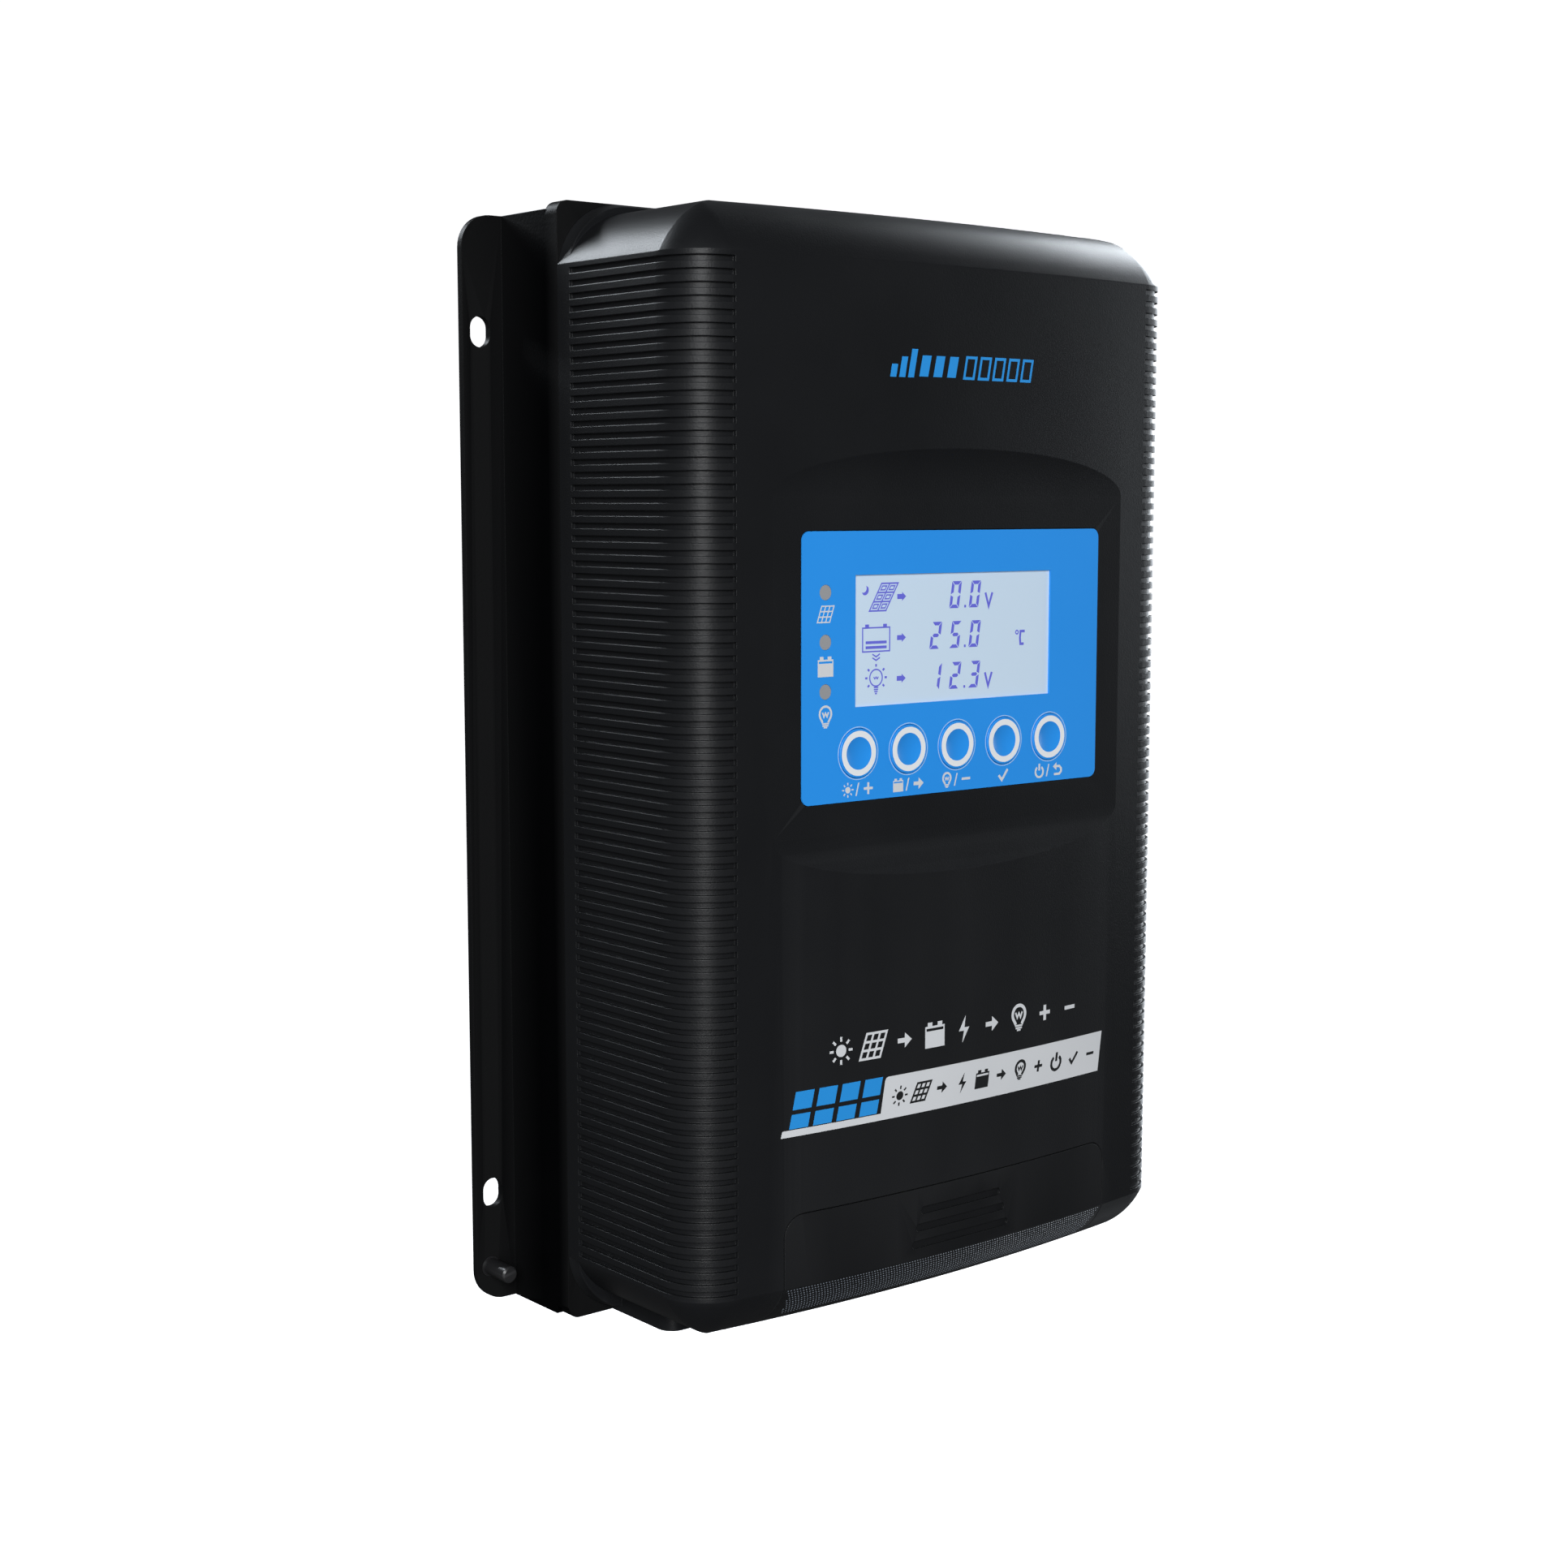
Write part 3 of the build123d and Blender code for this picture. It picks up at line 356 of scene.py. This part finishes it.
def lay(name, shapes, depth, mat, body, proud=0.00003, sunk=0.00005, step=None):
    """Lays flat shapes, in millimetres, on a surface as a thin closed film that follows it."""
    bm = bmesh.new()
    for shape in shapes:
        verts = [bm.verts.new((x * MM, 0, z * MM)) for x, z in shape]
        face = bm.faces.new(verts)
        face.normal_update()
        if face.normal.y > 0:
            face.normal_flip()
    bmesh.ops.remove_doubles(bm, verts=bm.verts, dist=1e-7)
    if step:
        low = min(v.co.x for v in bm.verts)
        high = max(v.co.x for v in bm.verts)
        for k in range(1, int((high - low) / step) + 1):
            bmesh.ops.bisect_plane(bm, geom=bm.verts[:] + bm.edges[:] + bm.faces[:], dist=1e-7,
                                   plane_co=(low + k * step, 0, 0), plane_no=(1, 0, 0))
    fronts = set(bm.faces)
    grown = bmesh.ops.extrude_face_region(bm, geom=bm.faces[:], use_keep_orig=True)
    lifted = {v for v in grown["geom"] if isinstance(v, bmesh.types.BMVert)}
    for face in fronts:
        if face.is_valid:
            face.normal_flip()
    for v in bm.verts:
        y = depth(v.co.x, v.co.z)
        v.co.y = y - proud if v in lifted else y + sunk
    bmesh.ops.recalc_face_normals(bm, faces=bm.faces)
    mesh = bpy.data.meshes.new(name)
    bm.to_mesh(mesh)
    bm.free()
    obj = bpy.data.objects.new(name, mesh)
    bpy.context.scene.collection.objects.link(obj)
    mesh.materials.append(mat)
    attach(obj, body)
    return obj


overlay_front = flat(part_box("front_overlay")[0][1])
glass_front = flat(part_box("lcd_glass")[0][1])
led_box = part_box("led_light_pipes")
led_x = (led_box[0][0] + led_box[1][0]) / 2 / MM
LED_PITCH = 10.8
led_top = led_box[1][2] / MM - 2.45
button_names = ("button_panel", "button_battery", "button_load", "button_set", "button_back")
button_at = {}
for name in button_names:
    low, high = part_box(name)
    button_at[name] = ((low[0] + high[0]) / 2 / MM, (low[2] + high[2]) / 2 / MM, low[1])

# pictograms beside the status lights
icons = (moved(panel(), led_x, led_top - 4.7, 3.9)
         + moved(battery(), led_x, led_top - LED_PITCH - 5.3, 4.7)
         + moved(bulb(0.10), led_x, led_top - 2 * LED_PITCH - 5.5, 4.9))
lay("status_pictograms", icons, overlay_front, print_white, "chassis")

# pictograms under the buttons: two with a slanted stroke between them, or one alone
LABEL_DROP = 8.0
LABEL_SIDE = 3.0
low_z = button_at["button_panel"][1] - LABEL_DROP
slash = rect(0, 0, 0.36, 2.9, 0.8)
# for each button: the left sign and its size, the right sign, its size and its distance to the right
button_signs = {
    "button_panel": (sun(), 3.3, plus(0.17), 3.3, 3.0),
    "button_battery": (battery(), 3.2, arrow(), 3.4, 3.2),
    "button_load": (bulb(0.14), 3.5, minus(0.17), 3.3, 3.0),
    "button_back": (power(0.15), 3.5, back(0.17), 3.3, 3.1),
}
labels = moved(tick(0.18), button_at["button_set"][0], low_z, 3.4)
for name, (left, left_size, right, right_size, aside) in button_signs.items():
    x = button_at[name][0]
    labels += moved(left, x - LABEL_SIDE, low_z, left_size)
    labels += moved(slash, x - 0.2, low_z)
    labels += moved(right, x + aside, low_z, right_size)
lay("button_pictograms", labels, overlay_front, print_white, "chassis")

# a white ring on each button, and a fine pale line round its hole
RING_RADIUS, RING_WIDTH = 4.325, 1.35
OUTLINE_RADIUS, OUTLINE_WIDTH = 5.82, 0.20
for name in button_names:
    x, z, y = button_at[name]
    ring = arc(x, z, RING_RADIUS, 0, 360, RING_WIDTH, 72)
    lay(name + "_ring", ring, flat(y), ring_white, name, sunk=0.0002)
    outline = arc(x, z, OUTLINE_RADIUS, 0, 360, OUTLINE_WIDTH, 72)
    lay(name + "_outline", outline, overlay_front, line_pale, "chassis")

# ------------------------------------------------------------------ display contents

SEGMENTS = {"0": "abcdef", "1": "bc", "2": "abged", "3": "abgcd", "5": "afgcd"}


def digit(kind, x, z, width=3.0, height=6.1, line=0.80, slant=0.155):
    """A seven-segment figure with its lower left corner at (x, z)."""
    gap, half, t = 0.12, height / 2, line
    bars = {
        "a": [(gap, height), (width - gap, height), (width - gap - t, height - t), (gap + t, height - t)],
        "d": [(gap, 0), (width - gap, 0), (width - gap - t, t), (gap + t, t)],
        "g": [(t * 0.5 + gap, half), (t + gap, half + t / 2), (width - t - gap, half + t / 2),
              (width - t * 0.5 - gap, half), (width - t - gap, half - t / 2), (t + gap, half - t / 2)],
        "f": [(0, height - gap), (0, half + gap), (t, half + t / 2 + gap), (t, height - t - gap)],
        "e": [(0, half - gap), (0, gap), (t, t + gap), (t, half - t / 2 - gap)],
        "b": [(width, height - gap), (width, half + gap), (width - t, half + t / 2 + gap),
              (width - t, height - t - gap)],
        "c": [(width, half - gap), (width, gap), (width - t, t + gap), (width - t, half - t / 2 - gap)],
    }
    return moved([bars[s] for s in SEGMENTS[kind]], x, z, slant=slant)


def unit_volt(x, z):
    """The unit sign V after a figure."""
    return stroke([(x, z + 3.3), (x + 1.05, z + 0.2), (x + 2.2, z + 3.3)], 0.60)


def display_arrow(x, z):
    return [[(x, z - 0.55), (x + 1.45, z - 0.55), (x + 1.45, z + 0.55), (x, z + 0.55)],
            [(x + 1.45, z - 1.0), (x + 2.65, z), (x + 1.45, z + 1.0)]]


rows = (37.85, 28.8, 19.5)
shown = digit("0", -1.95, rows[0]) + rect(3.05, rows[0] + 0.35, 0.55, 0.6) + digit("0", 4.15, rows[0])
shown += unit_volt(9.45, rows[0])
shown += digit("2", -8.0, rows[1]) + digit("5", -1.9, rows[1]) + rect(3.05, rows[1] + 0.35, 0.55, 0.6)
shown += digit("0", 4.15, rows[1])
shown += digit("1", -7.95, rows[2]) + digit("2", -1.9, rows[2]) + rect(3.0, rows[2] + 0.35, 0.55, 0.6)
shown += digit("3", 4.1, rows[2]) + unit_volt(9.5, rows[2])
# unit sign for degrees Celsius: a small ring and a C
shown += arc(19.75, rows[1] + 2.9, 0.42, 0, 360, 0.32, 20)
celsius = [(22.3, 3.1), (20.95, 3.1), (20.75, 1.6), (20.9, 0.15), (22.0, 0.15)]
shown += moved(stroke(celsius, 0.60), 0, rows[1])
for z in (40.9, 31.75, 22.65):
    shown += display_arrow(-17.8, z)
# moon: a crescent between two arcs
moon = []
for k in range(12):
    span = [radians(-115 + 150 * (k + i) / 12) for i in (0, 1)]
    outer = [(-27.4 + 1.15 * cos(t), 42.55 + 1.15 * sin(t)) for t in span]
    inner = [(-27.85 + 0.98 * cos(t), 42.95 + 0.98 * sin(t)) for t in span]
    moon.append([inner[0], outer[0], outer[1], inner[1]])
shown += moon
# slanted panel of two by three cells
panel_z, panel_x, cell_w, cell_h, lean = 40.9, -21.8, 2.45, 2.0, 0.6
shown += moved(panel(2, 3, 0.058, lean, 0.79, 0.97), panel_x, panel_z, 6.2)
for r in (-1, 0, 1):
    for c in (-0.5, 0.5):
        cell = [(-0.62, -0.42), (0.62, -0.42), (0.62, 0.42), (-0.62, 0.42)]
        shown += moved(stroke(cell, 0.30, closed=True), panel_x + c * cell_w + r * cell_h * lean,
                       panel_z + r * cell_h, slant=lean)
# battery with its level bars
shown += stroke([(-28.0, 28.95), (-20.0, 28.95), (-20.0, 34.2), (-28.0, 34.2)], 0.32, closed=True)
shown += rect(-26.7, 34.66, 1.1, 0.62) + rect(-21.4, 34.66, 1.1, 0.62)
shown += rect(-24.0, 29.85, 6.2, 0.62) + rect(-24.0, 30.95, 6.2, 0.62)
# two small chevrons down to the lamp
for z in (27.75, 26.95):
    shown += stroke([(-25.1, z + 0.6), (-24.0, z), (-22.9, z + 0.6)], 0.32)
# lamp with rays
shown += arc(-24.0, 23.1, 1.85, 0, 360, 0.32, 36)
shown += stroke([(-24.7, 23.3), (-24.35, 22.85), (-24.0, 23.25), (-23.65, 22.85), (-23.3, 23.3)], 0.28)
shown += rect(-24.0, 20.95, 1.3, 0.30) + rect(-24.0, 20.50, 1.25, 0.30) + rect(-24.0, 20.05, 1.0, 0.30)
shown += rect(-24.0, 19.6, 0.55, 0.35)
for t in (90, 40, 0, -40, 180, 140, 220):
    c, s = cos(radians(t)), sin(radians(t))
    shown += stroke([(-24.0 + 2.55 * c, 23.1 + 2.45 * s), (-24.0 + 3.2 * c, 23.1 + 3.05 * s)], 0.48)
lay("display_figures", shown, glass_front, segment_violet, "chassis", proud=0.00002)

# ------------------------------------------------------------------ prints on the bulged front

case_front = front_of("housing")
CURVE_STEP = 0.002

# upper mark: a plain group of slanted bars, solid and outlined
mark_low, mark_high = 88.9, 95.1
mark_mid, mark_tall = (mark_low + mark_high) / 2, mark_high - mark_low
mark = []
for k, share in enumerate((0.45, 0.72, 1.0)):
    mark += rect(-21.6 + 2.7 * k, mark_low + mark_tall * share / 2, 1.7, mark_tall * share, 1.2 * share)
for k in range(3):
    mark += rect(-12.6 + 4.1 * k, mark_mid - 0.5, 2.6, 4.6, 1.0)
for k in range(5):
    x = 0.9 + 4.55 * k
    mark += stroke([(x - 1.9, mark_mid - 2.8), (x + 1.0, mark_mid - 2.8), (x + 1.9, mark_mid + 1.8),
                    (x - 1.0, mark_mid + 1.8)], 0.62, closed=True)
lay("upper_mark", mark, case_front, print_blue, "chassis", step=CURVE_STEP)

# a row of plain white pictograms
row_z = -59.2
signs = (sun(), panel(line=0.09), arrow(), battery(), bolt(), arrow(), bulb(0.13), plus(0.2), minus(0.2))
row = []
for k, sign in enumerate(signs):
    row += moved(sign, -35.6 + 9.1 * k, row_z, 6.3 if k not in (2, 5, 7, 8) else 4.6)
lay("white_pictograms", row, case_front, print_white, "chassis", step=CURVE_STEP)

# lower mark: blue slanted blocks beside a white slanted band with an underline
LEAN = 0.22
blocks = []
for k in range(4):
    x = -46.9 + 6.35 * k
    blocks += moved([[(-2.5, 0), (2.5, 0), (2.5, 3.2), (-2.5, 3.2)],
                     [(-2.5, 4.2), (2.5, 4.2), (2.5, 8.2), (-2.5, 8.2)]], x - 0.2, -75.0, slant=LEAN)
lay("lower_blocks", blocks, case_front, print_blue, "chassis", step=CURVE_STEP)

band = [[(-24.6, -76.75), (48.3, -76.75), (49.7, -67.0), (-22.1, -67.0), (-22.75, -67.25), (-23.1, -67.9)],
        [(-51.8, -76.75), (-24.6, -76.75), (-24.35, -75.2), (-51.4, -75.2)]]
lay("white_band", band, case_front, print_white, "chassis", step=CURVE_STEP)

small_signs = (sun(), panel(line=0.11), arrow(), bolt(), battery(), arrow(), bulb(0.15), plus(0.2),
               power(0.16), tick(0.2), minus(0.2))
small = []
for k, sign in enumerate(small_signs):
    small += moved(sign, -18.8 + 6.4 * k, -71.9, 4.6 if k not in (2, 5, 7, 9, 10) else 3.4, slant=0.15)
lay("dark_pictograms", small, case_front, print_dark, "chassis", proud=0.00006,
    step=CURVE_STEP)

# ------------------------------------------------------------------ fine knurl on the cover's lower band

cover_front = front_of("terminal_cover")
cover_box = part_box("terminal_cover")
PITCH = 0.00080
ROW_STEP = 0.85 * PITCH
ROWS = 11
SIDES = 6
NEAR = 0.0002  # how far to each side the surface is felt for its slope
SINK = 0.00008  # how far a stud's foot lies in the surface and its top above it
crease_z = -0.1117


def stud_ring(bm, centre, along, up, half_width, half_height):
    """The corners of a stud's foot or top."""
    turns = [2 * pi * i / SIDES for i in range(SIDES)]
    return [bm.verts.new(centre + along * half_width * cos(t) + up * half_height * sin(t)) for t in turns]


knurl = bmesh.new()
for r in range(ROWS):
    z = crease_z - r * ROW_STEP
    half = cover_box[1][0] - 0.0009 - 0.0002 * r
    count = int(half / PITCH)
    for k in range(-count, count + 1):
        x = (k + 0.5 * (r % 2)) * PITCH
        if abs(x) > half:
            continue
        y = cover_front(x, z)
        dy_dz = (cover_front(x, z + NEAR) - cover_front(x, z - NEAR)) / (2 * NEAR)
        dy_dx = (cover_front(x + NEAR, z) - cover_front(x - NEAR, z)) / (2 * NEAR)
        out = Vector((dy_dx, -1, dy_dz)).normalized()
        along = Vector((1, dy_dx, 0)).normalized()
        up = out.cross(along)
        centre = Vector((x, y, z))
        foot = stud_ring(knurl, centre - out * SINK, along, up, 0.00026, 0.00020)
        top = stud_ring(knurl, centre + out * SINK, along, up, 0.00016, 0.00012)
        for i in range(SIDES):
            j = (i + 1) % SIDES
            knurl.faces.new((foot[i], foot[j], top[j], top[i]))
        knurl.faces.new(top)
        knurl.faces.new(foot[::-1])
bmesh.ops.recalc_face_normals(knurl, faces=knurl.faces)
knurl_mesh = bpy.data.meshes.new("cover_knurl")
knurl.to_mesh(knurl_mesh)
knurl.free()
cover_knurl = bpy.data.objects.new("cover_knurl", knurl_mesh)
bpy.context.scene.collection.objects.link(cover_knurl)
# the studs are coloured a pale blue-grey, far paler than the black cover they belong to: a painted highlight
# standing in for the glints on the knurl
knurl_mesh.materials.append(surface("knurl_painted_glint", (0.130, 0.150, 0.180), (0.150, 0.170, 0.200), 0.34,
                                    specular=0.6))
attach(cover_knurl, "terminal_cover")

# ------------------------------------------------------------------ floor, light and camera

low, high = cad_box
FLOOR_DROP = 0.35
floor_z = low[2] - FLOOR_DROP

floor_mat, floor_tree, floor_main, floor_make = shader("studio_floor")
floor_noise = floor_make("ShaderNodeTexNoise")
floor_noise.inputs["Scale"].default_value = 3.0
floor_mix = floor_make("ShaderNodeMix", data_type="RGBA")
floor_mix.inputs["A"].default_value = (0.86, 0.86, 0.87, 1)
floor_mix.inputs["B"].default_value = (0.90, 0.90, 0.905, 1)
floor_tree.links.new(floor_noise.outputs["Fac"], floor_mix.inputs["Factor"])
floor_tree.links.new(floor_mix.outputs["Result"], floor_main.inputs["Base Color"])
floor_tree.links.new(floor_mix.outputs["Result"], floor_main.inputs["Emission Color"])
floor_main.inputs["Emission Strength"].default_value = 0.95
floor_main.inputs["Roughness"].default_value = 0.7

# a floor that curves up into a back wall behind the part
yaw, pitch = -0.68689, -0.11805
forward = Vector((sin(-yaw), cos(yaw), 0))
side = Vector((cos(yaw), sin(yaw), 0))
FLOOR_START, FLOOR_LENGTH, WALL_TOP = 0.15, 1.2, 6.0
FLOOR_LEFT, FLOOR_RIGHT = -1.9, 2.2
BEND = 1.2
profile = [(FLOOR_START, 0.0), (FLOOR_LENGTH, 0.0)]
for a in range(10, 91, 10):
    profile.append((FLOOR_LENGTH + BEND * sin(radians(a)), BEND - BEND * cos(radians(a))))
profile.append((FLOOR_LENGTH + BEND, WALL_TOP))
sweep = bmesh.new()
rows_of_verts = []
for distance, height in profile:
    middle = forward * distance + Vector((0, 0, floor_z + height))
    rows_of_verts.append([sweep.verts.new(middle + side * across) for across in (FLOOR_LEFT, FLOOR_RIGHT)])
for a, b in zip(rows_of_verts, rows_of_verts[1:]):
    face = sweep.faces.new((a[0], a[1], b[1], b[0]))
    face.smooth = True
floor_mesh = bpy.data.meshes.new("floor")
sweep.to_mesh(floor_mesh)
sweep.free()
floor = bpy.data.objects.new("floor", floor_mesh)
bpy.context.scene.collection.objects.link(floor)
floor_mesh.materials.append(floor_mat)
# the pale floor is only a backdrop: it neither mirrors in the part nor lights it
floor.visible_glossy = False
floor.visible_diffuse = False

aim = Vector(((low[0] + high[0]) / 2, (low[1] + high[1]) / 2, (low[2] + high[2]) / 2))


def area_light(name, position, power_w, size_x, size_y, colour=(1, 1, 1), target=aim):
    data = bpy.data.lights.new(name, "AREA")
    data.shape = "RECTANGLE"
    data.size = size_x
    data.size_y = size_y
    data.energy = power_w
    data.color = colour
    lamp = bpy.data.objects.new(name, data)
    lamp.location = position
    lamp.rotation_euler = (Vector(target) - lamp.location).to_track_quat("-Z", "Y").to_euler()
    bpy.context.scene.collection.objects.link(lamp)
    return lamp


COOL = (0.88, 0.94, 1.0)
# a narrow strip for the front left edge, lamps that graze the bands and grooves, and a broad soft fill
area_light("key_corner", (-0.72, -0.97, 0.12), 5.5, 0.16, 1.1)
area_light("left_high", (-0.31, 1.05, 0.70), 14.0, 0.45, 0.45, COOL)
area_light("top_right", (1.05, 0.30, 0.58), 11.0, 0.4, 0.4, COOL)
area_light("low_right", (0.9, 0.05, -0.75), 0.3, 0.6, 0.6, COOL)
area_light("rim_right", (1.0, 0.25, 0.15), 7.0, 0.4, 1.2, COOL)
area_light("graze_right", (1.2, -0.33, 0.15), 2.2, 0.3, 0.6, COOL)
area_light("front_fill", (-1.3, -1.5, 0.7), 32.0, 0.8, 0.8, (0.96, 0.98, 1.0))

world = bpy.data.worlds.new("studio")
bpy.context.scene.world = world
world.use_nodes = True
backdrop = world.node_tree.nodes["Background"]
backdrop.inputs["Color"].default_value = (0.95, 0.97, 1.0, 1)
backdrop.inputs["Strength"].default_value = 0.06
bpy.context.scene.view_settings.view_transform = "Standard"

camera_data = bpy.data.cameras.new("camera")
camera_data.sensor_width = 36.0
camera_data.lens = 54.37
camera_data.clip_start = 0.01
camera_data.clip_end = 50.0
camera = bpy.data.objects.new("camera", camera_data)
camera.location = (-0.371935, -0.465606, 0.061519)
camera.rotation_euler = (pi / 2 + pitch, 0.0, yaw)
bpy.context.scene.collection.objects.link(camera)
bpy.context.scene.camera = camera
